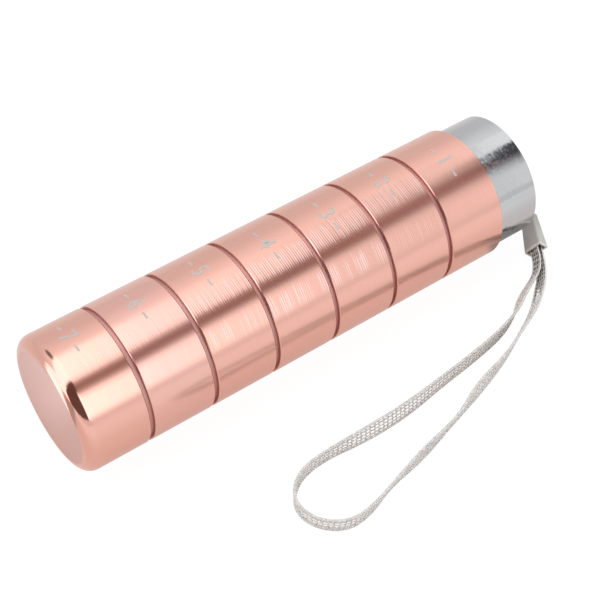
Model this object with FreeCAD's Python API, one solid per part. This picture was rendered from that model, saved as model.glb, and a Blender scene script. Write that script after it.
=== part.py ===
import FreeCAD, Part
import math
import os
from FreeCAD import Vector

os.makedirs("parts", exist_ok=True)

# Travel pill organizer: seven turned cups screw end to end under a round cap that carries a
# wrist strap. It lies on its side. +X runs along the tube towards the cap, +Z is up, and the
# origin is on the surface under the middle of the tube. All sizes are in millimetres.

# Tube
cup_count = 7
barrel_diameter = 30.0
barrel_length = 14.0          # full-diameter land of one cup
groove_depth = 0.8            # step down to the rim that shows between two lands
rim_length = 0.95
rim_wall = 1.05               # thinnest, round the seal
seat_gap = 0.05               # between a rim and the shoulder that it screws down to
cap_step = 1.0                # from the side of the cups in to the side of the cap
cap_length = 10.45            # what shows of the cap
edge_chamfer = 0.15           # bright cut on each edge of a land
end_fillet = 2.7              # round edge of the closed end
cap_edge_chamfer = 0.2

# Neck and thread
neck_length = 5.0
neck_wall = 1.1               # from the thread core to the pill space
cavity_fillet = 1.0
thread_pitch = 1.5
thread_height = 0.55
thread_base = 0.85
thread_crest = 0.4
thread_root = 0.12            # how far a ridge runs into the wall that carries it
thread_clearance = 0.15       # radial, from a ridge to the other part's wall
neck_thread_start = 1.7       # first ridge centre, from the shoulder
neck_thread_end = 0.825       # last ridge centre, from the mouth of the neck
neck_lead = 0.3               # chamfer at the mouth of the neck
thread_turn = 57.0            # degrees round the axis, so that no ridge starts on a wall's seam

# Socket
socket_end_gap = 0.35         # from the mouth of the neck to the ceiling of the socket
socket_thread_end = 0.1       # last ridge centre, from the ceiling
floor_thickness = 1.3
end_wall = 1.6                # floor of the closed cup

# Seal ring at the root of each neck
seal_section = 0.95
seal_clearance = 0.05         # radial
seal_end_clearance = 0.15     # along the tube, past the ring

# Strap fittings
string_diameter = 0.8
string_gap = 1.1              # between the two strands of the loop
tunnel_clearance = 0.25       # radial, round the string in the cap
tunnel_depth = 2.2            # middle of its bend, from the end face
tunnel_drop = 9.3             # its middle below the tube's axis
tunnel_side = 3.2             # its middle from the tube's axis, towards -Y
tunnel_spread = 3.4           # between its two openings
string_turn = 2.4             # where the strands bend to the cap, past the crown
string_stand_off = 1.2        # where they spread to the openings, from the end face
string_bight = 1.5            # how far it hangs into the pocket
ferrule_length = 9.8
ferrule_mouth = (4.7, 3.05)   # outside, long and short side
ferrule_crown = (3.5, 2.1)
ferrule_edge = 0.45           # rounding of the long edges
ferrule_wall = 0.4            # round the pocket that holds the two ends of the tape
crown_thickness = 1.2
crown_slot = (2.2, 1.05)
ferrule_heading = 31.0        # degrees from -Y round towards -X, of its length
ferrule_dip = 5.0             # degrees that its mouth points down
ferrule_roll = 48.0           # degrees that its long side slopes down
ferrule_forward = 0.65        # mouth centre past the end face of the cap
ferrule_overhang = 1.5        # mouth centre past the side of the cap, towards -Y
ferrule_height = 2.8          # mouth centre above the surface
strap_diameter = 1.8          # round stand-in with the section of the open-weave tape
strap_entry = 0.8             # how far each end goes into the ferrule
strap_spread = 1.9            # between the two ends of the tape

axis_height = barrel_diameter / 2
rim_diameter = barrel_diameter - 2 * groove_depth
cap_diameter = barrel_diameter - 2 * cap_step
neck_diameter = rim_diameter - 2 * (rim_wall + seal_section + 2 * seal_clearance)
bore_diameter = neck_diameter - 2 * neck_wall
socket_depth = neck_length + socket_end_gap
cup_pitch = barrel_length + rim_length + seat_gap
total_length = cup_count * cup_pitch - rim_length + cap_length
cap_end = total_length / 2
first_shoulder = cap_end - cap_length - seat_gap
socket_radius = neck_diameter / 2 + thread_height + thread_clearance
seal_outer = neck_diameter / 2 + seal_clearance + seal_section
counterbore_depth = seal_section + seal_end_clearance
counterbore_radius = seal_outer + seal_clearance
axis_direction = Vector(1, 0, 0)
same_place = 1e-6             # two positions closer than this are one


def turned(outline):
    """Solid of revolution about X from edges in the XY plane, centred on the tube's axis."""
    face = Part.Face(Part.Wire(outline))
    return face.revolve(Vector(0, 0, 0), axis_direction, 360)


def closed_line(points):
    corners = [Vector(x, r, 0) for x, r in points]
    return Part.makePolygon(corners + corners[:1]).Edges


def on_axis(shape, x=0.0):
    """Move a solid made about the X axis to its place in the tube."""
    moved = shape.copy()
    moved.translate(Vector(x, 0, axis_height))
    return moved


def thread_ridge(wall_radius, height, first_centre, turns):
    """Right-hand ridge on a wall about X. A negative height points into a bore."""
    side = 1 if height > 0 else -1
    foot = wall_radius - side * thread_root
    crest = wall_radius + height
    flare = (thread_base - thread_crest) / 2 * (thread_root / abs(height))
    foot_half = thread_base / 2 + flare
    crest_half = thread_crest / 2
    spine = Part.makeHelix(thread_pitch, thread_pitch * turns, wall_radius)
    corners = [
        Vector(foot, 0, -foot_half),
        Vector(crest, 0, -crest_half),
        Vector(crest, 0, crest_half),
        Vector(foot, 0, foot_half),
    ]
    section = Part.makePolygon(corners + corners[:1])
    sweep = Part.BRepOffsetAPI.MakePipeShell(Part.Wire(spine))
    sweep.setBiNormalMode(Vector(0, 0, 1))
    sweep.add(section)
    sweep.build()
    sweep.makeSolid()
    ridge = sweep.shape()
    ridge.rotate(Vector(0, 0, 0), Vector(0, 1, 0), 90)
    ridge.rotate(Vector(0, 0, 0), axis_direction, thread_turn)
    ridge.translate(Vector(first_centre, 0, 0))
    return ridge


def neck_ridge():
    turns = (neck_length - neck_thread_end - neck_thread_start) / thread_pitch
    return thread_ridge(neck_diameter / 2, thread_height, neck_thread_start, turns)


def socket_ridge(shoulder_below):
    """Ridge in a socket, half a pitch from the neck that screws in from shoulder_below."""
    start = neck_thread_start + thread_pitch / 2
    turns = (seat_gap + socket_depth - socket_thread_end - start) / thread_pitch
    return thread_ridge(socket_radius, -thread_height, shoulder_below + start, turns)


def socket_steps(mouth):
    """Inside of a socket from its mouth to the middle of its ceiling, as x and radius."""
    return [
        (mouth, counterbore_radius),
        (mouth + counterbore_depth, counterbore_radius),
        (mouth + counterbore_depth, socket_radius),
        (mouth + socket_depth, socket_radius),
        (mouth + socket_depth, 0),
    ]


def neck_steps():
    """Outside of a neck from the shoulder to its mouth, with the shoulder at x = 0."""
    return [
        (0, neck_diameter / 2),
        (neck_length - neck_lead, neck_diameter / 2),
        (neck_length, neck_diameter / 2 - neck_lead),
        (neck_length, 0),
    ]


def cavity(floor):
    """Pill space from its floor to the mouth of the neck, with a round bottom edge."""
    space = Part.makeCylinder(
        bore_diameter / 2, neck_length - floor, Vector(floor, 0, 0), axis_direction
    )
    bottom = [e for e in space.Edges if abs(e.BoundBox.XMax - floor) < same_place]
    return space.makeFillet(cavity_fillet, bottom)


def open_cup():
    """Cup with a socket in its far end. Its shoulder is at x = 0."""
    land_radius = barrel_diameter / 2
    rim_radius = rim_diameter / 2
    mouth = -barrel_length - rim_length
    outline = socket_steps(mouth)[::-1] + [
        (mouth, rim_radius),
        (-barrel_length, rim_radius),
        (-barrel_length, land_radius - edge_chamfer),
        (-barrel_length + edge_chamfer, land_radius),
        (-edge_chamfer, land_radius),
        (0, land_radius - edge_chamfer),
    ]
    body = turned(closed_line(outline + neck_steps()))
    body = body.fuse(socket_ridge(mouth - seat_gap)).fuse(neck_ridge())
    return body.cut(cavity(mouth + socket_depth + floor_thickness))


def closed_cup():
    """Last cup, with a solid flat end. Its shoulder is at x = 0."""
    land_radius = barrel_diameter / 2
    outline = [
        (-barrel_length, 0),
        (-barrel_length, land_radius),
        (-edge_chamfer, land_radius),
        (0, land_radius - edge_chamfer),
    ]
    body = turned(closed_line(outline + neck_steps()))
    corner = [
        e for e in body.Edges
        if abs(e.BoundBox.XMax + barrel_length) < same_place
        and e.BoundBox.YLength > rim_diameter
    ]
    body = body.makeFillet(end_fillet, corner)
    return body.fuse(neck_ridge()).cut(cavity(end_wall - barrel_length))


def seal_ring():
    """Round-section ring at the root of a neck whose shoulder is at x = 0."""
    radius = seal_section / 2
    middle = neck_diameter / 2 + seal_clearance + radius
    return Part.makeTorus(middle, radius, Vector(seal_clearance + radius, 0, 0), axis_direction)


def smooth_path(points, share=0.45, closed=False):
    """Straight runs joined by tangent arcs. Returns the edges and each arc's radius."""
    count = len(points)
    corners = range(count) if closed else range(1, count - 1)
    cuts = {}
    for i in corners:
        here, before, after = points[i], points[i - 1], points[(i + 1) % count]
        back = (before - here).normalize()
        ahead = (after - here).normalize()
        half_turn = (math.pi - back.getAngle(ahead)) / 2
        setback = share * min((before - here).Length, (after - here).Length)
        radius = setback / math.tan(half_turn)
        inward = (back + ahead).normalize()
        middle = here + inward * (radius / math.cos(half_turn) - radius)
        cuts[i] = (here + back * setback, middle, here + ahead * setback, radius)
    edges = []
    runs = range(count) if closed else range(count - 1)
    for i in runs:
        j = (i + 1) % count
        start = cuts[i][2] if i in cuts else points[i]
        stop = cuts[j][0] if j in cuts else points[j]
        edges.append(Part.LineSegment(start, stop).toShape())
        if j in cuts:
            edges.append(Part.Arc(*cuts[j][:3]).toShape())
    return edges, [cuts[i][3] for i in corners]


def tube_along(edges, diameter):
    """Round bar along tangent edges."""
    spine = Part.Wire(edges)
    first = edges[0]
    start = first.valueAt(first.FirstParameter)
    tangent = first.tangentAt(first.FirstParameter)
    ring = Part.Wire(Part.Circle(start, tangent, diameter / 2).toShape())
    return spine.makePipeShell([ring], True, False)


# Directions of the ferrule: towards its mouth, and along its long and short sides. It lies
# beside the cap on one long edge.
heading, dip, roll = [math.radians(a) for a in (ferrule_heading, ferrule_dip, ferrule_roll)]
ferrule_out = Vector(
    -math.sin(heading) * math.cos(dip), -math.cos(heading) * math.cos(dip), -math.sin(dip)
)
level = Vector(-math.cos(heading), math.sin(heading), 0)
steep = ferrule_out.cross(level)
ferrule_long = level * math.cos(roll) + steep * math.sin(roll)
ferrule_short = steep * math.cos(roll) - level * math.sin(roll)
mouth_centre = Vector(
    cap_end + ferrule_forward, -cap_diameter / 2 - ferrule_overhang, ferrule_height
)
crown_centre = mouth_centre - ferrule_out * ferrule_length


def ferrule_point(along, long_way, short_way=0.0):
    """Point from the crown of the ferrule, towards its mouth and along its two sides."""
    across = ferrule_long * long_way + ferrule_short * short_way
    return crown_centre + ferrule_out * along + across


def ferrule_rectangle(along, half_long, half_short):
    corners = [(-1, -1), (1, -1), (1, 1), (-1, 1)]
    points = [ferrule_point(along, i * half_long, j * half_short) for i, j in corners]
    return Part.makePolygon(points + points[:1])


def ferrule_section(along, wall=0.0):
    """Section across the tapered ferrule, inside its outer faces by a wall."""
    taper = along / ferrule_length
    half_long, half_short = [
        (crown + (mouth - crown) * taper) / 2 - wall
        for crown, mouth in zip(ferrule_crown, ferrule_mouth)
    ]
    return ferrule_rectangle(along, half_long, half_short)


def strap_ferrule():
    """Tapered sleeve with a pocket for the tape and a slot in its crown for the string."""
    body = Part.makeLoft([ferrule_section(0), ferrule_section(ferrule_length)], True, True)
    long_edges = [e for e in body.Edges if e.Length > ferrule_mouth[0]]
    body = body.makeFillet(ferrule_edge, long_edges)
    past_mouth = ferrule_length + ferrule_wall
    depths = [ferrule_section(along, ferrule_wall) for along in (crown_thickness, past_mouth)]
    pocket = Part.makeLoft(depths, True, True)
    rim = ferrule_rectangle(-crown_thickness, crown_slot[0] / 2, crown_slot[1] / 2)
    slot = Part.Face(rim).extrude(ferrule_out * (3 * crown_thickness))
    return body.cut(pocket.fuse(slot))


# The string goes through a bent tunnel in the end face of the cap and through the crown slot
tunnel_bottom = Vector(cap_end - tunnel_depth, -tunnel_side, axis_height - tunnel_drop)
lower_opening, upper_opening = [
    tunnel_bottom + Vector(tunnel_depth + string_stand_off, 0, side * tunnel_spread / 2)
    for side in (-1, 1)
]
string_points = [
    tunnel_bottom,
    lower_opening,
    ferrule_point(-string_turn, string_gap / 2),
    ferrule_point(crown_thickness + string_bight, string_gap / 2),
    ferrule_point(crown_thickness + string_bight, -string_gap / 2),
    ferrule_point(-string_turn, -string_gap / 2),
    upper_opening,
]


def string_loop():
    edges, radii = smooth_path(string_points, closed=True)
    print("string bend radii", [round(r, 2) for r in radii])
    half = len(edges) // 2
    halves = [tube_along(part, string_diameter) for part in (edges[:half], edges[half:])]
    return halves[0].fuse(halves[1]).removeSplitter()


def screw_cap():
    """Cap with the same socket as a cup, and the string's tunnel in its solid end."""
    radius = cap_diameter / 2
    mouth = first_shoulder + seat_gap
    outline = socket_steps(mouth)[::-1] + [
        (mouth, radius - cap_edge_chamfer),
        (mouth + cap_edge_chamfer, radius),
        (cap_end - cap_edge_chamfer, radius),
        (cap_end, radius - cap_edge_chamfer),
        (cap_end, 0),
    ]
    body = on_axis(turned(closed_line(outline)).fuse(socket_ridge(first_shoulder)))
    bend = [upper_opening, tunnel_bottom, lower_opening]
    tunnel = tube_along(smooth_path(bend)[0], string_diameter + 2 * tunnel_clearance)
    return body.cut(tunnel)


# Route of the tape from the ferrule round its loop and back, as x from the end of the cap,
# y, and height. Its two ends in the ferrule are worked out from the ferrule.
route = [
    (-0.65, -16.4, 1.97), (-2.5, -19.0, 1.1), (-7.1, -21.3, 0.95),
    (-12.8, -24.9, 0.95), (-20.4, -28.3, 0.95), (-29.3, -30.0, 0.95), (-39.5, -31.4, 0.95),
    (-50.5, -33.0, 0.95), (-61.5, -33.3, 0.95), (-70.5, -32.7, 0.95), (-77.0, -33.5, 0.95),
    (-81.4, -36.4, 0.95), (-83.2, -40.6, 0.95), (-81.6, -45.4, 0.95), (-77.3, -48.6, 0.95),
    (-71.5, -48.7, 0.95), (-64.5, -46.0, 0.95), (-55.0, -43.9, 0.95), (-44.5, -40.9, 0.95),
    (-35.0, -37.2, 0.95), (-25.5, -34.6, 0.95), (-17.6, -30.6, 0.95), (-10.6, -26.7, 0.95),
    (-5.2, -23.6, 0.95), (-1.5, -20.6, 1.7), (0.15, -17.6, 3.3),
]


def wrist_strap():
    """Tape of the wrist strap as a plain round bar, lying on the surface."""
    ends = [ferrule_point(ferrule_length - strap_entry, s * strap_spread / 2) for s in (1, -1)]
    lying = [Vector(cap_end + x, y, z) for x, y, z in route]
    edges, radii = smooth_path([ends[0]] + lying + [ends[1]])
    print("strap bend radii", [round(r, 1) for r in radii])
    bar = tube_along(edges, strap_diameter)
    length = sum(e.Length for e in edges)
    section = math.pi * strap_diameter ** 2 / 4
    print("strap length", round(length, 2), "volume ratio", round(bar.Volume / (length * section), 4))
    return bar


nodes = {"screw_cap": screw_cap()}
cup = open_cup()
ring = seal_ring()
for number in range(1, cup_count + 1):
    shoulder = first_shoulder - (number - 1) * cup_pitch
    last = number == cup_count
    nodes["cup_%d" % number] = on_axis(closed_cup() if last else cup, shoulder)
    nodes["seal_%d" % number] = on_axis(ring, shoulder)
nodes["string_loop"] = string_loop()
nodes["strap_ferrule"] = strap_ferrule()
nodes["wrist_strap"] = wrist_strap()

for name, shape in nodes.items():
    shape.exportStep("parts/%s.step" % name)
    box = shape.BoundBox
    print(
        "%-14s %d solid %s volume %9.3f  x %.2f..%.2f y %.2f..%.2f z %.2f..%.2f"
        % (
            name, len(shape.Solids), "valid" if shape.isValid() else "INVALID", shape.Volume,
            box.XMin, box.XMax, box.YMin, box.YMax, box.ZMin, box.ZMax,
        )
    )
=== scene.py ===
import bmesh
import bpy
import math
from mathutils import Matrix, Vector


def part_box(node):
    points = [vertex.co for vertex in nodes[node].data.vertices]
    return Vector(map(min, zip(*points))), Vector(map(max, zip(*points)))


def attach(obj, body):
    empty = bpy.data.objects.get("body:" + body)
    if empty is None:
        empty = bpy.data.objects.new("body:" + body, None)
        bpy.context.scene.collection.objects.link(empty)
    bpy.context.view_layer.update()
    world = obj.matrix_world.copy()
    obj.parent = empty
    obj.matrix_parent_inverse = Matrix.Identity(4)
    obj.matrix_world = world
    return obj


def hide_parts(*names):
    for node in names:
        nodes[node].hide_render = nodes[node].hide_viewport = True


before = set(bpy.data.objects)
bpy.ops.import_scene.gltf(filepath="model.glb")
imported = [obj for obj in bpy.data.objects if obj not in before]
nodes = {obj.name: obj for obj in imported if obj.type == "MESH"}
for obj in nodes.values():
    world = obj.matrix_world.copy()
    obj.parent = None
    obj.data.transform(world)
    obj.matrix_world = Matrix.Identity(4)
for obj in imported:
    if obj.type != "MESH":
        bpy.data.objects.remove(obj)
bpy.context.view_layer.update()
mm = 0.001
axisHeight = (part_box("cup_4")[0].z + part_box("cup_4")[1].z) / 2  # middle of the tube, in metres
cups = ["cup_%d" % number for number in range(1, 8)]
print("frame loaded:", len(nodes), "nodes")


# Small helpers for node trees

def addNode(tree, kind, inputs=(), **settings):
    node = tree.nodes.new("ShaderNode" + kind)
    for key, value in settings.items():
        setattr(node, key, value)
    for key, value in dict(inputs).items():
        if isinstance(value, bpy.types.NodeSocket):
            tree.links.new(value, node.inputs[key])
        else:
            node.inputs[key].default_value = value
    return node


def calc(tree, operation, *values):
    return addNode(tree, "Math", enumerate(values), operation=operation).outputs[0]


def product(tree, first, *others):
    for value in others:
        first = calc(tree, "MULTIPLY", first, value)
    return first


def inverse(tree, share):  # 1 where the share is 0, and 0 where it is 1
    return calc(tree, "SUBTRACT", 1.0, share)


def centred(tree, value):  # a value round 0.5, moved to lie round 0
    return calc(tree, "SUBTRACT", value, 0.5)


def fade(tree, value, start, end):  # 0 before start, 1 after end, smooth between
    settings = {"Value": value, "From Min": start, "From Max": end}
    return addNode(tree, "MapRange", settings, interpolation_type="SMOOTHSTEP").outputs[0]


def band(tree, value, start, full, fall, end):  # 1 from full to fall, 0 before and after it
    return product(tree, fade(tree, value, start, full),
                   inverse(tree, fade(tree, value, fall, end)))


def drawnCurve(tree, value, points):  # value looked up on straight lines between points
    low, high = points[0][0], points[-1][0]
    top = max(level for _, level in points)
    share = addNode(tree, "MapRange", {"Value": value, "From Min": low, "From Max": high})
    node = addNode(tree, "FloatCurve", {"Value": share.outputs[0]})
    line = node.mapping.curves[0]
    line.points[0].location = (0, points[0][1] / top)
    line.points[1].location = (1, points[-1][1] / top)
    for place, level in points[1:-1]:
        line.points.new((place - low) / (high - low), level / top)
    for point in line.points:
        point.handle_type = "VECTOR"
    node.mapping.update()
    return product(tree, node.outputs[0], top)


def noise(tree, place, scale):
    settings = {"Vector": place, "Scale": scale, "Detail": 2.0}
    return addNode(tree, "TexNoise", settings).outputs[0]


def dotProduct(tree, first, second):
    return addNode(tree, "VectorMath", {0: first, 1: second}, operation="DOT_PRODUCT").outputs[1]


def mixValue(tree, share, first, second):
    return addNode(tree, "Mix", {"Factor": share, 2: first, 3: second}).outputs[0]


def mixColor(tree, share, first, second):
    pair = {"Factor": share, 6: first, 7: second}
    return addNode(tree, "Mix", pair, data_type="RGBA").outputs[2]


def shaded(color, share):  # a darker copy of a colour
    return tuple(part * share for part in color[:3]) + (1,)


def objectPlace(tree):
    return addNode(tree, "TexCoord").outputs["Object"]


def shaderMaterial(name):
    material = bpy.data.materials.new(name)
    material.use_nodes = True
    tree = material.node_tree
    return material, tree, tree.nodes["Principled BSDF"]


def setMaterial(obj, material):
    obj.data.materials.clear()
    obj.data.materials.append(material)


# Camera

cameraSetup = {
    "place": (-128.55, -182.52, 255.97),  # mm
    "lookAt": (-0.68, -5.48, 15.0),  # mm
    "lens": 93.52,
    "sensor": 36.0,
    "clipStart": 0.01,  # m
}


def makeCamera():
    camera = bpy.data.objects.new("camera", bpy.data.cameras.new("camera"))
    bpy.context.scene.collection.objects.link(camera)
    place = Vector(cameraSetup["place"]) * mm
    camera.location = place
    look = Vector(cameraSetup["lookAt"]) * mm - place
    camera.rotation_euler = look.to_track_quat("-Z", "Y").to_euler()
    camera.data.lens = cameraSetup["lens"]
    camera.data.sensor_width = cameraSetup["sensor"]
    camera.data.clip_start = cameraSetup["clipStart"]
    bpy.context.scene.camera = camera


makeCamera()
bpy.context.scene.view_settings.view_transform = "Standard"
print("camera made")


# Wrist strap: a knitted tape standing on its edge, from the ferrule round its loop and back

ferrule = {
    "mouth": (57.9, -15.5, 2.8),  # mm, middle of the mouth
    "length": 9.8,
    "heading": 31.0,  # degrees from -Y towards -X
    "dip": 5.0,
    "roll": 48.0,
}
strap = {
    "width": 4.5,  # mm
    "ribs": 5,
    "ribWide": 0.17,  # half width of one rib where the knit is open
    "ribPacked": 0.49,  # and where it is closed
    "ribDeep": 0.11,  # half thickness of one rib
    "ribSides": 8,
    "edgeWide": 0.22,  # half width of the first and last rib
    "edgeDeep": 0.3,
    "lobe": 0.17,  # how far the two plies of a rib stand out
    "stitch": 1.15,  # between two bars of the ladder
    "barWide": 0.2,  # half width of one bar
    "barDeep": 0.08,
    "barSides": 6,
    "barSlant": 0.3,  # how much further along a bar ends than it starts
    "samples": 24,  # points of the line for each control point
    "ringStep": 0.135,  # between two rings of vertices
    "gathered": 0.55,  # share of the width at the ferrule
    "gatherPerMm": 0.018,  # how fast the tape widens away from it
    "shadeStrandReach": (11.0, 18.0),  # how far the painted shade strands reach on the first and the last leg
    "shadeStrandUneven": 0.2,  # share of that by which its strands differ
    "shadeStrandSwing": 5.0,  # radians from one strand to the next
    "shadeStrandDeep": 0.03,
    "shadeStrandSides": 4,
    "shadeStrandEvery": 4,  # rings of the ribs for each ring of the painted shade strands
    "stacked": 0.72,  # each end of the tape from the middle of the mouth
    "tucked": 2.2,  # how far each end goes into the ferrule
    "straight": 0.8,  # how far each end stays straight past the mouth
    "firstDrop": (56.1, -17.8, 2.43),  # where the first leg comes down
    "lastRise": (56.5, -18.6, 2.2),  # where the last leg goes up
    "firstRun": 5.7,  # along the tape from the mouth to the route
    "clear": 0.05,  # under the tape's lower edge
    "lowest": 0.03,  # height that no point goes below
}
ribSpacing = (strap["width"] - 2 * strap["edgeWide"]) / (strap["ribs"] - 1)
# The tape's middle line: x, y, lean from upright in degrees, how far the knit is open
strapRoute = [
    (54.2, -20.0, -30, 1), (49.6, -22.1, -30, 0.75), (46.0, -24.0, -30, 0.5),
    (42.6, -26.5, -15, 0.25), (36.3, -29.2, -5, 0), (27.4, -30.9, -5, 0.5),
    (17.2, -32.2, -5, 0.75), (6.2, -33.8, 5, 1), (-4.8, -34.0, 5, 1), (-13.8, -33.4, -10, 0.75),
    (-20.5, -34.0, -5, 0.5), (-25.2, -37.0, 0, 0.25), (-26.9, -41.3, 5, 1),
    (-25.2, -46.4, 10, 0.75), (-20.6, -49.8, 10, 1), (-14.6, -49.3, 10, 0.5),
    (-7.8, -46.8, 20, 0.25), (1.7, -44.6, 0, 0.5), (12.2, -41.9, 20, 0),
    (21.7, -38.2, -8, 0.75), (31.2, -35.4, 10, 0.25), (39.1, -31.7, 15, 0),
    (46.1, -28.3, 25, 0.5), (51.5, -24.1, 35, 1), (54.9, -21.0, 35, 1),
]


def ferruleDirections():  # towards the mouth, and along the short side
    heading, dip, roll = [math.radians(ferrule[k]) for k in ("heading", "dip", "roll")]
    out = Vector((-math.sin(heading) * math.cos(dip), -math.cos(heading) * math.cos(dip),
                  -math.sin(dip)))
    level = Vector((-math.cos(heading), math.sin(heading), 0))
    shortSide = out.cross(level) * math.cos(roll) - level * math.sin(roll)
    return out, shortSide


def linePoints(points):  # points along the NURBS spline of a route
    curve = bpy.data.curves.new("line", "CURVE")
    curve.dimensions = "3D"
    spline = curve.splines.new("NURBS")
    spline.points.add(len(points) - 1)
    for control, point in zip(spline.points, points):
        control.co = (*point, 1)
    spline.order_u = 3
    spline.use_endpoint_u = True
    spline.resolution_u = strap["samples"]
    holder = bpy.data.objects.new("line", curve)
    bpy.context.scene.collection.objects.link(holder)
    mesh = bpy.data.meshes.new_from_object(holder)
    found = [v.co.copy() for v in mesh.vertices]
    bpy.data.objects.remove(holder)
    bpy.data.curves.remove(curve)
    bpy.data.meshes.remove(mesh)
    return found


def evenSteps(line, values, step):  # the line and its values again at even distances
    travelled = [0.0]
    for before, here in zip(line, line[1:]):
        travelled.append(travelled[-1] + (here - before).length)
    count = int(travelled[-1] / step)
    found, place = [], 0
    for number in range(count + 1):
        distance = travelled[-1] * number / count
        while place < len(line) - 2 and travelled[place + 1] < distance:
            place += 1
        share = (distance - travelled[place]) / (travelled[place + 1] - travelled[place])
        found.append((distance, line[place].lerp(line[place + 1], share),
                      values[place].lerp(values[place + 1], share)))
    return found


def gather(reach):  # share of the full width at a distance from the ferrule
    return min(1, strap["gathered"] + strap["gatherPerMm"] * max(reach, 0))


def strapLines():  # control points in mm, and lean and openness at each of them
    out, shortSide = ferruleDirections()
    mouth = Vector(ferrule["mouth"])
    atMouth = []
    for side in (-1, 1):  # the first leg lies on top of the last one
        end = mouth + shortSide * side * strap["stacked"]
        atMouth.append([end - out * strap["tucked"], end + out * strap["straight"]])
    steps = [math.dist(a[:2], b[:2]) for a, b in zip(strapRoute, strapRoute[1:])]
    whole = strap["firstRun"] + sum(steps) + strap["firstRun"]
    ground, fromStart = [], 0.0
    for (x, y, lean, _), step in zip(strapRoute, [strap["firstRun"], *steps]):
        fromStart += step
        half = strap["width"] / 2 * gather(min(fromStart, whole - fromStart))
        tipped = abs(math.radians(lean))
        height = half * math.cos(tipped) + strap["edgeDeep"] * math.sin(tipped)
        ground.append(Vector((x, y, height + strap["clear"])))
    first = [*atMouth[0], Vector(strap["firstDrop"])]
    last = [Vector(strap["lastRise"]), *atMouth[1][::-1]]
    rows = [row[2:] for row in strapRoute]
    leans = rows[:1] * len(first) + rows + rows[-1:] * len(last)
    return first + ground + last, [Vector((lean, openness, 0)) for lean, openness in leans]


def addTube(mesh, rings):  # closed tube through rings of points
    loops = [[mesh.verts.new(point) for point in ring] for ring in rings]
    sides = len(loops[0])
    for before, here in zip(loops, loops[1:]):
        for i in range(sides):
            j = (i + 1) % sides
            mesh.faces.new((before[i], before[j], here[j], here[i]))
    mesh.faces.new(loops[0][::-1])
    mesh.faces.new(loops[-1])


def meshObject(name, mesh, smooth=True):
    data = bpy.data.meshes.new(name)
    bmesh.ops.recalc_face_normals(mesh, faces=mesh.faces)
    for face in mesh.faces:
        face.smooth = smooth
    mesh.to_mesh(data)
    mesh.free()
    obj = bpy.data.objects.new(name, data)
    bpy.context.scene.collection.objects.link(obj)
    return obj


def tapePlaces(line, values, length):  # where the rings of the tape stand and how they lean
    steps = evenSteps(line, values, strap["ringStep"])
    places = []
    for number, (distance, middle, (lean, openness, _)) in enumerate(steps):
        before, after = steps[max(number - 1, 0)][1], steps[min(number + 1, len(steps) - 1)][1]
        along = (after - before).normalized()
        side = along.cross(Vector((0, 0, 1))).normalized()
        up = side.cross(along)
        angle = math.radians(lean)
        across = up * math.cos(angle) + side * math.sin(angle)
        share = gather(min(distance, length - distance) - strap["tucked"])
        places.append({"distance": distance, "middle": middle, "across": across,
                       "outward": along.cross(across), "open": openness, "share": share})
    return places


def ribOffset(rib):  # mm across the tape to a rib, or between two ribs for a half number
    return (rib - (strap["ribs"] - 1) / 2) * ribSpacing


def aboveFloor(point):  # a point in mm as metres, lifted to the lowest height
    return Vector((point.x, point.y, max(point.z, strap["lowest"]))) * mm


def ribRing(place, offset, wide, deep, sides, lobe=0.0, twist=0.0):  # outline of one strand
    points = []
    for number in range(sides):
        turn = 2 * math.pi * number / sides
        size = 1 + lobe * math.cos(2 * (turn - twist))
        sideways = (offset + wide * size * math.cos(turn)) * place["share"]
        thick = deep * size * (0.5 + 0.5 * place["share"])  # thins half as much as it narrows
        points.append(aboveFloor(place["middle"] + place["across"] * sideways
                                 + place["outward"] * thick * math.sin(turn)))
    return points


def addRib(mesh, places, rib):
    atEdge = rib in (0, strap["ribs"] - 1)
    deep = strap["edgeDeep" if atEdge else "ribDeep"]
    rings = []
    for place in places:
        wide = strap["ribPacked"] + (strap["ribWide"] - strap["ribPacked"]) * place["open"]
        inward = 0.0
        if atEdge:  # a closed edge grows inwards only
            wide = (wide + strap["edgeWide"]) / 2 if place["open"] < 1 else strap["edgeWide"]
            inward = (wide - strap["edgeWide"]) * (1 if rib == 0 else -1)
        twist = 2 * math.pi * place["distance"] / strap["stitch"] + rib
        rings.append(ribRing(place, ribOffset(rib) + inward, wide, deep, strap["ribSides"],
                             strap["lobe"], twist))
    addTube(mesh, rings)


def addBars(mesh, places, length):  # bars of the ladder between each two ribs
    perBar = strap["stitch"] / (length / (len(places) - 1))
    slant = strap["barSlant"] / strap["ringStep"]
    for gap in range(strap["ribs"] - 1):
        for bar in range(int(len(places) / perBar) - 1):
            rings = []
            for share in (0, 0.5, 1):
                place = places[int((bar + 0.5) * perBar + slant * (share - 0.5) + 0.5)]
                rings.append(barRing(place, ribOffset(gap + share)))
            addTube(mesh, rings)


def makeStrap():
    control, leans = strapLines()
    line = linePoints(control)
    length = sum((b - a).length for a, b in zip(line, line[1:]))
    places = tapePlaces(line, linePoints(leans), length)
    mesh = bmesh.new()
    for rib in range(strap["ribs"]):
        addRib(mesh, places, rib)
    addBars(mesh, places, length)
    tape = meshObject("wristStrapTape", mesh)
    makeCore(tape, places, length)
    print("strap length", round(length, 1), "mm,", len(tape.data.polygons), "faces")
    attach(tape, "cap")
    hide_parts("wrist_strap")
    return tape


def barRing(place, offset):  # outline of a bar where it crosses from rib to rib
    across, outward = place["across"], place["outward"]
    along = across.cross(outward)
    points = []
    for number in range(strap["barSides"]):
        turn = 2 * math.pi * number / strap["barSides"]
        point = place["middle"] + across * offset * place["share"]
        point += along * strap["barWide"] * math.cos(turn)
        point += outward * strap["barDeep"] * math.sin(turn)
        points.append(aboveFloor(point))
    return points


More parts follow.
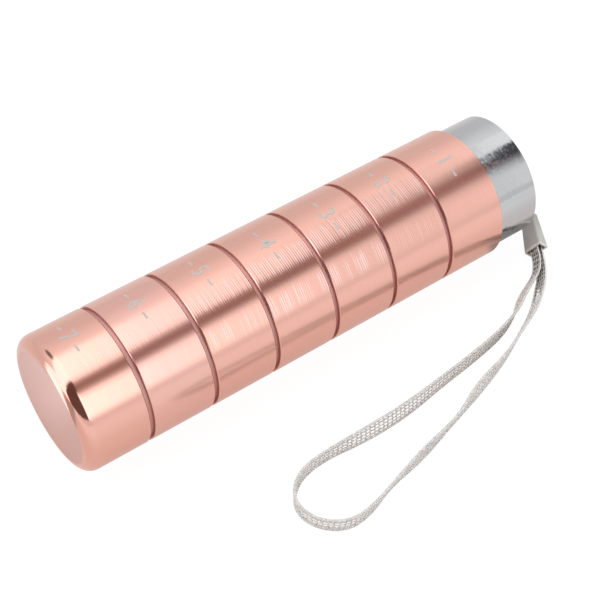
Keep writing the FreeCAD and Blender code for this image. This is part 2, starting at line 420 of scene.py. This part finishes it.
def makeCore(tape, places, length):  # painted shade: dark strands between the ribs near the ferrule, where the two stacked legs shade each other
    mesh = bmesh.new()
    mesh.from_mesh(tape.data)
    yarnFaces = len(mesh.faces)
    firstReach, lastReach = strap["shadeStrandReach"]
    for gap in range(strap["ribs"] - 1):
        uneven = 1 - strap["shadeStrandUneven"] + strap["shadeStrandUneven"] * math.sin(strap["shadeStrandSwing"] * gap)
        first = [p for p in places if p["distance"] < strap["tucked"] + firstReach * uneven]
        last = [p for p in places
                if p["distance"] > length - strap["tucked"] - lastReach * uneven]
        for part in (first, last):
            addTube(mesh, [ribRing(p, ribOffset(gap + 0.5), ribSpacing / 2, strap["shadeStrandDeep"],
                                   strap["shadeStrandSides"]) for p in part[::strap["shadeStrandEvery"]]])
    bmesh.ops.recalc_face_normals(mesh, faces=mesh.faces)
    mesh.faces.ensure_lookup_table()
    for face in mesh.faces[yarnFaces:]:
        face.material_index = 1
    mesh.to_mesh(tape.data)
    mesh.free()


tape = makeStrap()


# Strap, ferrule, string and seal finishes

fittingFinish = {
    "tapeColor": (0.77, 0.742, 0.712, 1),
    "tapeShade": (0.64, 0.628, 0.602, 1),
    # painted shade: colour of the dark strands between the ribs near the ferrule
    "shadeStrandColor": (0.10, 0.095, 0.09, 1),
    "shadeStrandDarker": (0.06, 0.056, 0.052, 1),
    "ferruleColor": (0.58, 0.567, 0.535, 1),
    # painted shade on the ferrule towards its far end, under the cap
    "ferrulePaintedShade": (0.40, 0.39, 0.365, 1),
    # painted light on the thin rim of the ferrule's mouth
    "lipPaintedLight": (0.80, 0.79, 0.75, 1),
    "stringColor": (0.5, 0.47, 0.44, 1),
    "sealColor": (0.55, 0.55, 0.53, 1),
    "yarnScale": 1400.0,
    "yarnTone": (0.35, 0.65),  # where the yarn's shade ends and its colour is full
    "yarnRoughness": 0.75,
    "yarnSheen": 0.25,
    "plasticGrain": 2500.0,
    "plasticCloud": 250.0,
    "plasticShade": 0.93,
    "bumpStrength": 0.15,
    "bumpDeep": 0.00005,  # m
    "ferruleRoughness": 0.42,
    "sealRoughness": 0.5,
    "lip": (0.7, 0.25),  # mm before the mouth, where the painted light on the lip starts and where it is full
    "shadeEnd": 2.5,  # mm before the mouth, where the painted shade from the cap has gone
}


def yarnMaterial(name, color, shade):
    material, tree, shader = shaderMaterial(name)
    tone = noise(tree, objectPlace(tree), fittingFinish["yarnScale"])
    mixed = mixColor(tree, fade(tree, tone, *fittingFinish["yarnTone"]), shade, color)
    tree.links.new(mixed, shader.inputs["Base Color"])
    shader.inputs["Roughness"].default_value = fittingFinish["yarnRoughness"]
    shader.inputs["Sheen Weight"].default_value = fittingFinish["yarnSheen"]
    return material


def plasticMaterial(name, color, roughness):
    material, tree, shader = shaderMaterial(name)
    place = objectPlace(tree)
    grain = noise(tree, place, fittingFinish["plasticGrain"])
    cloud = noise(tree, place, fittingFinish["plasticCloud"])
    mixed = mixColor(tree, cloud, shaded(color, fittingFinish["plasticShade"]), color)
    tree.links.new(mixed, shader.inputs["Base Color"])
    bump = addNode(tree, "Bump", {"Height": grain, "Strength": fittingFinish["bumpStrength"],
                                  "Distance": fittingFinish["bumpDeep"]})
    tree.links.new(bump.outputs[0], shader.inputs["Normal"])
    shader.inputs["Roughness"].default_value = roughness
    return material


def paleLip(material):  # painted light on the thin rim of the ferrule's mouth, and painted shade towards the ferrule's far end under the cap
    tree = material.node_tree
    shader = tree.nodes["Principled BSDF"]
    out, _ = ferruleDirections()
    reach = dotProduct(tree, objectPlace(tree), out)
    mouth = out.dot(Vector(ferrule["mouth"])) * mm
    lipStart, lipFull = fittingFinish["lip"]
    lip = fade(tree, reach, mouth - lipStart * mm, mouth - lipFull * mm)
    before = shader.inputs["Base Color"].links[0].from_socket
    # painted shade, darker towards the ferrule's far end under the cap
    paintedShadeShare = fade(tree, reach, mouth - ferrule["length"] * mm,
                   mouth - fittingFinish["shadeEnd"] * mm)
    color = mixColor(tree, paintedShadeShare, fittingFinish["ferrulePaintedShade"], before)
    # painted light on the rim of the mouth
    tree.links.new(mixColor(tree, lip, color, fittingFinish["lipPaintedLight"]),
                   shader.inputs["Base Color"])


# the second material is the painted shade of the dark strands near the ferrule
for name, color, shade in (("strapYarn", "tapeColor", "tapeShade"),
                           ("strapPaintedShade", "shadeStrandColor", "shadeStrandDarker")):
    tape.data.materials.append(yarnMaterial(name, fittingFinish[color], fittingFinish[shade]))
ferrulePlastic = plasticMaterial("ferrulePlastic", fittingFinish["ferruleColor"],
                                 fittingFinish["ferruleRoughness"])
paleLip(ferrulePlastic)
setMaterial(nodes["strap_ferrule"], ferrulePlastic)
setMaterial(nodes["string_loop"], yarnMaterial("stringYarn", fittingFinish["stringColor"],
                                               fittingFinish["tapeShade"]))
sealRubber = plasticMaterial("sealRubber", fittingFinish["sealColor"],
                             fittingFinish["sealRoughness"])
for number in range(1, len(cups) + 1):
    setMaterial(nodes["seal_%d" % number], sealRubber)
print("strap fittings finished")


# Metal of the cups and the cap

roseFinish = {
    "color": (0.81, 0.45, 0.372, 1),
    "pinkColor": (0.82, 0.468, 0.405, 1),  # cup 6 is a little pinker
    "linePaintedHighlight": (0.95, 0.70, 0.66, 1),  # painted highlight on the bright side of a turning line
    # painted shade on the dark side of a turning line
    "linePaintedShade": (0.66, 0.34, 0.29, 1),
    "groovePaintedShade": (0.66, 0.382, 0.35, 1),  # painted shade in the narrow groove between two cups
    "endColor": (0.715, 0.48, 0.437, 1),  # matt disc of the closed end
    "roughness": 0.2,
    "linePitch": 0.5,  # mm between two turning lines
    # strength of the turning lines for each cup, on its top and on its front, and how many
    # degrees later the ones on its top start
    "lines": {"cup_1": (0.12, 0.1, -9), "cup_2": (0.45, 0.2, -7), "cup_3": (0.5, 0.9, -3),
              "cup_4": (0.5, 1, 0), "cup_5": (0.35, 0.5, 0), "cup_6": (0.12, 0.06, 0),
              "cup_7": (0.08, 0.06, 0)},
    # where the lines lean and carry their painted highlight and painted shade: degrees from the
    # top towards the strap
    "topZone": [(-180, 0.04), (9, 0.04), (14, 1), (27, 1), (31, 0.1), (180, 0.04)],
    "frontZone": [(-180, 0), (40, 0), (45, 1), (54, 1), (60, 0), (180, 0)],
    "ragged": 9.0,  # degrees by which single lines start early or late
    "raggedNoise": (1.7, 2.0),  # scale and detail
    "tilt": 2.6,  # degrees that a line leans
    "topLean": 0.6,  # share of that for a line on the top, the other way
    "alongLean": 0.6,  # and along the tube
    "paintedLineShadeShare": 0.5,  # strength of the painted shade on a line's dark side
    "lineWander": (1.6, 5.0),  # how fast and how far the pitch wanders
    "breaks": (3.0, 0.12),  # how often a line breaks, per mm along and per degree round
    "breakDepth": 1.3,
    "lineSoft": 0.5,
    "groupScale": 0.42,  # lines on the front come in groups
    "group": (0.42, 0.56),
    "rim": (13.9, 14.05, 14.6, 14.82),  # mm from the axis
    "rimRoughness": 0.52,
    # the closed end: mm from its face, and for the disc mm from the axis too
    "edgeDeep": (2.45, 2.75),
    "edgeRoughness": 0.09,
    "discDeep": (0.005, 0.03),
    "discReach": (12.25, 12.5),
    "discRoughness": 0.5,
}
silverFinish = {
    "color": (0.548, 0.552, 0.562, 1),
    "roughness": 0.08,
    "lineTilt": 0.25,
    "waves": 0.03,  # how uneven the polish is along the tube
    "wavesRound": 0.09,  # and round it
    "cloud": {"Scale": 1300.0, "Detail": 3.0, "Roughness": 0.6},
    "smudgeScale": 160.0,
    "smudgeShade": 0.9,
}


def turnedPlace(tree):  # place in m, mm along the tube, degrees round it, and mm from its axis
    place = objectPlace(tree)
    x, y, z = addNode(tree, "SeparateXYZ", {0: place}).outputs
    high = calc(tree, "SUBTRACT", z, axisHeight)
    around = calc(tree, "DEGREES", calc(tree, "ARCTAN2", product(tree, y, -1.0), high))
    flat = addNode(tree, "CombineXYZ", {0: y, 1: high})
    reach = addNode(tree, "VectorMath", {0: flat.outputs[0]}, operation="LENGTH")
    return place, product(tree, x, 1 / mm), around, product(tree, reach.outputs[1], 1 / mm)


def alongNoise(tree, along, scale, detail=1.0):  # even noise that only changes along the tube
    return addNode(tree, "TexNoise", {"W": along, "Scale": scale, "Detail": detail},
                   noise_dimensions="1D").outputs[0]


def turnedLines(tree, along, around):  # 0 to 1, one swing for each line of the tool
    wanderScale, wander = roseFinish["lineWander"]
    phase = calc(tree, "ADD", product(tree, along, 2 * math.pi / roseFinish["linePitch"]),
                 product(tree, alongNoise(tree, along, wanderScale), wander))
    perMm, perDegree = roseFinish["breaks"]
    spot = addNode(tree, "CombineXYZ", {0: product(tree, along, perMm),
                                        1: product(tree, around, perDegree)})
    broken = noise(tree, spot.outputs[0], 1.0)
    wave = calc(tree, "ADD", calc(tree, "SINE", phase),
                product(tree, centred(tree, broken), roseFinish["breakDepth"]))
    return fade(tree, wave, -roseFinish["lineSoft"], roseFinish["lineSoft"])


def tippedNormal(tree, alongTip, aroundTip):  # turns the normal by small slopes
    normal = addNode(tree, "NewGeometry").outputs["Normal"]
    _, y, z = addNode(tree, "SeparateXYZ", {0: normal}).outputs
    lean = addNode(tree, "CombineXYZ", {0: alongTip, 1: product(tree, z, -1.0, aroundTip),
                                        2: product(tree, y, aroundTip)})
    tipped = addNode(tree, "VectorMath", {0: normal, 1: lean.outputs[0]}, operation="ADD")
    unit = addNode(tree, "VectorMath", {0: tipped.outputs[0]}, operation="NORMALIZE")
    return unit.outputs[0]


def roseMetal(cup):
    material, tree, shader = shaderMaterial(cup + "Metal")
    _, along, around, reach = turnedPlace(tree)
    line = turnedLines(tree, along, around)
    late = product(tree, centred(tree, alongNoise(tree, along, *roseFinish["raggedNoise"])),
                   roseFinish["ragged"])
    ragged = calc(tree, "ADD", around, late)
    group = fade(tree, alongNoise(tree, along, roseFinish["groupScale"]), *roseFinish["group"])
    topStrength, frontStrength, later = roseFinish["lines"][cup]
    topPlace = calc(tree, "SUBTRACT", ragged, later)
    onTop = product(tree, drawnCurve(tree, topPlace, roseFinish["topZone"]), topStrength)
    onFront = product(tree, group, frontStrength,
                      drawnCurve(tree, ragged, roseFinish["frontZone"]))
    lineLeanAndHighlight = calc(tree, "ADD", onTop, onFront)
    tilt = math.tan(math.radians(roseFinish["tilt"]))
    slope = calc(tree, "SUBTRACT", onFront, product(tree, onTop, roseFinish["topLean"]))
    lean = product(tree, slope, product(tree, centred(tree, line), 2 * tilt))
    tree.links.new(tippedNormal(tree, product(tree, lean, roseFinish["alongLean"]), lean),
                   shader.inputs["Normal"])
    plain = roseFinish["pinkColor" if cup == "cup_6" else "color"]
    # painted highlight and painted shade along the turning lines
    color = mixColor(tree, product(tree, line, lineLeanAndHighlight), plain, roseFinish["linePaintedHighlight"])
    dark = product(tree, inverse(tree, line), lineLeanAndHighlight, roseFinish["paintedLineShadeShare"])
    color = mixColor(tree, dark, color, roseFinish["linePaintedShade"])
    rim = band(tree, reach, *roseFinish["rim"])
    rough = mixValue(tree, rim, roseFinish["roughness"], roseFinish["rimRoughness"])
    if cup == "cup_7":  # its closed end: a polished round edge and a matt disc
        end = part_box(cup)[0].x / mm
        edge, face = [inverse(tree, fade(tree, along, end + start, end + stop))
                      for start, stop in (roseFinish["edgeDeep"], roseFinish["discDeep"])]
        disc = product(tree, face, inverse(tree, fade(tree, reach, *roseFinish["discReach"])))
        rim = product(tree, rim, inverse(tree, edge))
        rough = mixValue(tree, edge, rough, roseFinish["edgeRoughness"])
        rough = mixValue(tree, disc, rough, roseFinish["discRoughness"])
        color = mixColor(tree, disc, color, roseFinish["endColor"])
    # painted shade in the groove between two cups
    color = mixColor(tree, rim, color, roseFinish["groovePaintedShade"])
    tree.links.new(color, shader.inputs["Base Color"])
    tree.links.new(rough, shader.inputs["Roughness"])
    shader.inputs["Metallic"].default_value = 1.0
    return material


def silverMetal():
    material, tree, shader = shaderMaterial("capMetal")
    place, along, around, _ = turnedPlace(tree)
    line = centred(tree, turnedLines(tree, along, around))
    tilt = math.tan(math.radians(silverFinish["lineTilt"]))
    cloud = addNode(tree, "TexNoise", {"Vector": place, **silverFinish["cloud"]})
    x, y, _ = addNode(tree, "SeparateXYZ", {0: cloud.outputs["Color"]}).outputs
    tipAlong = calc(tree, "ADD", product(tree, line, tilt),
                    product(tree, centred(tree, x), silverFinish["waves"]))
    tipRound = product(tree, centred(tree, y), silverFinish["wavesRound"])
    tree.links.new(tippedNormal(tree, tipAlong, tipRound), shader.inputs["Normal"])
    smudge = noise(tree, place, silverFinish["smudgeScale"])
    darker = shaded(silverFinish["color"], silverFinish["smudgeShade"])
    tree.links.new(mixColor(tree, smudge, darker, silverFinish["color"]),
                   shader.inputs["Base Color"])
    shader.inputs["Metallic"].default_value = 1.0
    shader.inputs["Roughness"].default_value = silverFinish["roughness"]
    return material


for cup in cups:
    setMaterial(nodes[cup], roseMetal(cup))
setMaterial(nodes["screw_cap"], silverMetal())
print("metal finished")


# Numbers on the lands of the cups

marks = {
    "size": 5.3,
    "bold": 0.05,  # mm added to each side of a stroke
    "dash": (1.8, 0.52),  # mm, long and wide
    "dashFrom": 3.6,  # middle of each dash from the middle of the number
    "rise": 0.012,  # mm above the metal
    "landMiddle": 12.0,  # mm from the mouth of the neck
    # degrees from the top of the tube towards the strap, for cups 1 to 7
    "angles": (7, -2, 1, 0, -6, -6, -8),
    "weld": 1e-4,  # mm
    # the flat mark is cut into strips before it is bent: half its length and the step, in mm
    "cutReach": 5.0,
    "cutStep": 0.25,
    "color": (0.60, 0.535, 0.50, 1),
    "speckScale": 5000.0,
    "speckShade": 0.86,
    "metallic": 0.35,
    "roughness": 0.5,
}


def flatMark(text):  # mesh of the number and its two dashes, reading along x
    curve = bpy.data.curves.new("mark", "FONT")
    curve.body = text
    curve.align_x = "CENTER"
    curve.align_y = "CENTER"
    curve.size = marks["size"]
    curve.extrude = marks["rise"]
    curve.offset = marks["bold"]
    holder = bpy.data.objects.new("mark", curve)
    bpy.context.scene.collection.objects.link(holder)
    data = bpy.data.meshes.new_from_object(holder)
    mesh = bmesh.new()
    mesh.from_mesh(data)
    bpy.data.objects.remove(holder)
    bpy.data.curves.remove(curve)
    bpy.data.meshes.remove(data)
    bmesh.ops.remove_doubles(mesh, verts=mesh.verts, dist=marks["weld"])
    long, wide = marks["dash"]
    for side in (-1, 1):
        made = bmesh.ops.create_cube(mesh, size=1)["verts"]
        bmesh.ops.scale(mesh, verts=made, vec=(long, wide, 2 * marks["rise"]))
        bmesh.ops.translate(mesh, verts=made, vec=(side * marks["dashFrom"], 0, 0))
    return mesh


def bendRound(mesh, cup, angle):  # wraps the flat mark round the land of its cup
    reach, step = marks["cutReach"], marks["cutStep"]
    for number in range(int(2 * reach / step) + 1):
        bmesh.ops.bisect_plane(mesh, geom=mesh.verts[:] + mesh.edges[:] + mesh.faces[:],
                               plane_co=(number * step - reach, 0, 0), plane_no=(1, 0, 0))
    low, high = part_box(cup)
    radius = (high.z - low.z) / 2
    middle = high.x - marks["landMiddle"] * mm
    for vert in mesh.verts:
        turn = math.radians(angle) + vert.co.x * mm / radius
        reachOut = radius + vert.co.z * mm
        vert.co = Vector((middle + vert.co.y * mm, -reachOut * math.sin(turn),
                          axisHeight + reachOut * math.cos(turn)))


def markMaterial():
    material, tree, shader = shaderMaterial("markGrey")
    speck = noise(tree, objectPlace(tree), marks["speckScale"])
    mixed = mixColor(tree, speck, shaded(marks["color"], marks["speckShade"]), marks["color"])
    tree.links.new(mixed, shader.inputs["Base Color"])
    shader.inputs["Metallic"].default_value = marks["metallic"]
    shader.inputs["Roughness"].default_value = marks["roughness"]
    return material


def makeMarks():
    grey = markMaterial()
    for number, cup in enumerate(cups, 1):
        mesh = flatMark(str(number))
        bendRound(mesh, cup, marks["angles"][number - 1])
        mark = meshObject("number%d" % number, mesh, smooth=False)
        setMaterial(mark, grey)
        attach(mark, cup)


makeMarks()
print("numbers made")


# Studio: a bright white room with two long lights over the tube and a dark gap between them

studio = {
    # brightness round the tube: degrees from straight up towards the strap side
    "room": [(-180, 0.8), (-90, 0.8), (-62, 0.87), (-54, 0.94), (-46, 1.03), (-38, 1.1),
             (-30, 1.18), (40, 1.0), (68, 1.0), (77, 0.95), (85, 0.9), (180, 0.9)],
    # along the tube: 0 is square to it, positive towards the cap
    "topLight": [(-1, 2.0), (0.0, 2.0), (0.27, 2.3), (0.32, 1.05), (0.375, 1.62), (0.43, 1.12),
                 (0.475, 1.0), (0.525, 0.83), (0.58, 0.9), (0.62, 1.35), (0.68, 1.35), (1, 1.9)],
    "frontLight": [(-1, 0.13), (-0.1, 0.13), (0.02, 2.2), (0.27, 2.5), (0.32, 0.92),
                   (0.375, 1.66), (0.43, 1.18), (0.475, 0.93), (0.525, 0.9), (0.606, 0.98),
                   (0.62, 1.1), (0.68, 1.12), (1, 1.8)],
    "topLightEdge": [(-1, 15), (0, 15), (0.27, 21), (0.32, 13), (0.375, 18), (0.43, 17),
                     (0.475, 13), (0.525, 7.5), (0.58, 15), (0.606, 15), (0.617, -22), (1, -22)],
    "frontLightEdge": [(-1, 30), (0.32, 40), (0.375, 35), (0.475, 35), (0.525, 33),
                       (0.58, 28), (0.606, 28), (0.617, 33), (1, 33)],
    "frontSoft": [(-1, 8), (0.606, 8), (0.617, 20), (1, 20)],  # degrees
    "gap": [(-1, 0.12), (-0.1, 0.12), (0.2, 0.27), (0.32, 0.22), (0.53, 0.23), (0.58, 0.62),
            (0.606, 0.6), (0.617, 0.06), (1, 0.06)],
    "gapColor": (1.25, 0.72, 0.64, 1),
    "capGapColor": (0.9, 0.97, 1.15, 1),
    "capTint": (0.6, 0.612),  # where capGapColor takes over from gapColor
    "gapUnder": 0.6,  # brightness of the lights under which the gap's tint begins
    "topLightFrom": -29.0,
    "frontLightTo": 80.0,
    "endSoft": 3.0,  # degrees, at those two
    "topSoft": 5.0,
    "least": 0.001,  # keeps a division from zero
    # round patches in the room: direction, degrees from its middle to its edges, brightness
    "window": ((-0.95, 0.25, 0.12), (17, 23), 1.9),
    "lens": ((-0.19, 0.63, 0.75), (5, 15), 0.25),
}
floorLook = {
    "color": (0.82, 0.82, 0.82, 1),
    "white": 1.06,
    "seenShare": 0.9,  # how much of the floor's own white the camera sees
    "mirrorShare": 0.6,  # and how much of it the metal reflects
    "mirrorNear": (0.92, 0.76, 0.69, 1),  # its light there under the tube
    "mirrorFar": (1.2, 1.2, 1.2, 1),  # and away from it
    "mirrorReach": 0.08,  # m
    "mirrorBack": (0.85, 0.82, 0.8, 1),  # and behind the tube
    "backReach": 0.05,  # m
    "underCap": (0.3, 0.29, 0.28, 1),  # and under the cap, where the strap leaves it
    "underCapX": (0.002, 0.005),  # m from the cap's face
    "underCapY": (-0.021, -0.017, -0.006, 0.0),  # m
    # lit and unlit fans on the floor beyond the closed end: degrees from the tube's line
    "fanFrom": (-0.057, 0.005),  # m
    "litFan": (8, 13, 30, 36),
    "litFanColor": (2.6, 2.8, 2.9, 1),
    "unlitFan": (-16, -10, 4, 9),
    "unlitFanColor": (0.3, 0.24, 0.2, 1),
    "fanReach": (0.008, 0.018),  # m beyond their start
    "half": 1.5,  # m
    "below": 0.02,  # mm under the object
}


def makeWorld():
    world = bpy.data.worlds.new("studio")
    bpy.context.scene.world = world
    world.use_nodes = True
    tree = world.node_tree
    tree.nodes.clear()
    direction = addNode(tree, "TexCoord").outputs["Generated"]
    x, y, z = addNode(tree, "SeparateXYZ", {0: direction}).outputs
    turn = calc(tree, "DEGREES", calc(tree, "ARCTAN2", product(tree, y, -1.0), z))
    square = calc(tree, "ADD", product(tree, y, y), product(tree, z, z))
    away = calc(tree, "MAXIMUM", calc(tree, "SQRT", square), studio["least"])
    along = calc(tree, "DIVIDE", x, away)
    levels = {key: drawnCurve(tree, along, points) for key, points in studio.items()
              if isinstance(points, list) and key != "room"}

    def lightShare(edge, soft):  # 0 before the edge of a light, 1 after it
        return fade(tree, turn, calc(tree, "SUBTRACT", edge, soft),
                    calc(tree, "ADD", edge, soft))

    topShare = inverse(tree, lightShare(levels["topLightEdge"], studio["topSoft"]))
    frontShare = lightShare(levels["frontLightEdge"], levels["frontSoft"])
    lights = calc(tree, "ADD", product(tree, topShare, levels["topLight"]),
                  product(tree, frontShare, levels["frontLight"]))
    dark = inverse(tree, fade(tree, lights, 0.0, studio["gapUnder"]))
    lights = calc(tree, "MAXIMUM", lights, levels["gap"])
    inside = product(tree, lightShare(studio["topLightFrom"], studio["endSoft"]),
                     inverse(tree, lightShare(studio["frontLightTo"], studio["endSoft"])))
    level = mixValue(tree, inside, drawnCurve(tree, turn, studio["room"]), lights)
    for name in ("window", "lens"):
        middle, (inner, outer), brightness = studio[name]
        dot = dotProduct(tree, direction, Vector(middle).normalized())
        patch = fade(tree, dot, math.cos(math.radians(outer)), math.cos(math.radians(inner)))
        level = mixValue(tree, patch, level, brightness)
    seen = addNode(tree, "LightPath").outputs["Is Camera Ray"]
    level = mixValue(tree, seen, level, 1.0)
    tint = mixColor(tree, fade(tree, along, *studio["capTint"]), studio["gapColor"],
                    studio["capGapColor"])
    tinted = product(tree, dark, inside, inverse(tree, seen))
    tint = mixColor(tree, tinted, (1, 1, 1, 1), tint)
    background = addNode(tree, "Background", {"Color": tint, "Strength": level})
    addNode(tree, "OutputWorld", {"Surface": background.outputs[0]})


def makeFloor():
    mesh = bmesh.new()
    half = floorLook["half"]
    corners = [(-half, -half), (half, -half), (half, half), (-half, half)]
    height = -floorLook["below"] * mm
    mesh.faces.new([mesh.verts.new((x, y, height)) for x, y in corners])
    floor = meshObject("floor", mesh)
    material, tree, shader = shaderMaterial("floorWhite")
    tree.nodes.remove(shader)
    path = addNode(tree, "LightPath").outputs
    paper = addNode(tree, "BsdfDiffuse", {"Color": floorLook["color"]})
    x, y, _ = addNode(tree, "SeparateXYZ", {0: objectPlace(tree)}).outputs
    nearTube = fade(tree, calc(tree, "ABSOLUTE", y), 0.0, floorLook["mirrorReach"])
    mirrorColor = mixColor(tree, nearTube, floorLook["mirrorNear"], floorLook["mirrorFar"])
    behind = fade(tree, y, 0.0, floorLook["backReach"])
    mirrorColor = mixColor(tree, behind, mirrorColor, floorLook["mirrorBack"])
    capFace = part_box("screw_cap")[0].x
    capStart, capFull = floorLook["underCapX"]
    below = product(tree, fade(tree, x, capFace + capStart, capFace + capFull),
                    band(tree, y, *floorLook["underCapY"]))
    mirrorColor = mixColor(tree, below, mirrorColor, floorLook["underCap"])
    fromX, fromY = floorLook["fanFrom"]
    beyond = calc(tree, "SUBTRACT", fromX, x)
    fan = calc(tree, "DEGREES", calc(tree, "ARCTAN2", calc(tree, "SUBTRACT", y, fromY), beyond))
    beyond = fade(tree, beyond, *floorLook["fanReach"])
    for key in ("litFan", "unlitFan"):
        share = product(tree, band(tree, fan, *floorLook[key]), beyond)
        mirrorColor = mixColor(tree, share, mirrorColor, floorLook[key + "Color"])
    white = (floorLook["white"],) * 3 + (1,)
    color = mixColor(tree, path["Is Camera Ray"], mirrorColor, white)
    glow = addNode(tree, "Emission", {"Color": color, "Strength": 1.0})
    seen = product(tree, path["Is Camera Ray"], floorLook["seenShare"])
    mirrored = calc(tree, "MAXIMUM", path["Is Glossy Ray"], path["Is Transmission Ray"])
    share = calc(tree, "MAXIMUM", seen, product(tree, mirrored, floorLook["mirrorShare"]))
    mixed = addNode(tree, "MixShader", {0: share, 1: paper.outputs[0], 2: glow.outputs[0]})
    tree.links.new(mixed.outputs[0], tree.nodes["Material Output"].inputs["Surface"])
    setMaterial(floor, material)


makeWorld()
makeFloor()
print("studio made")
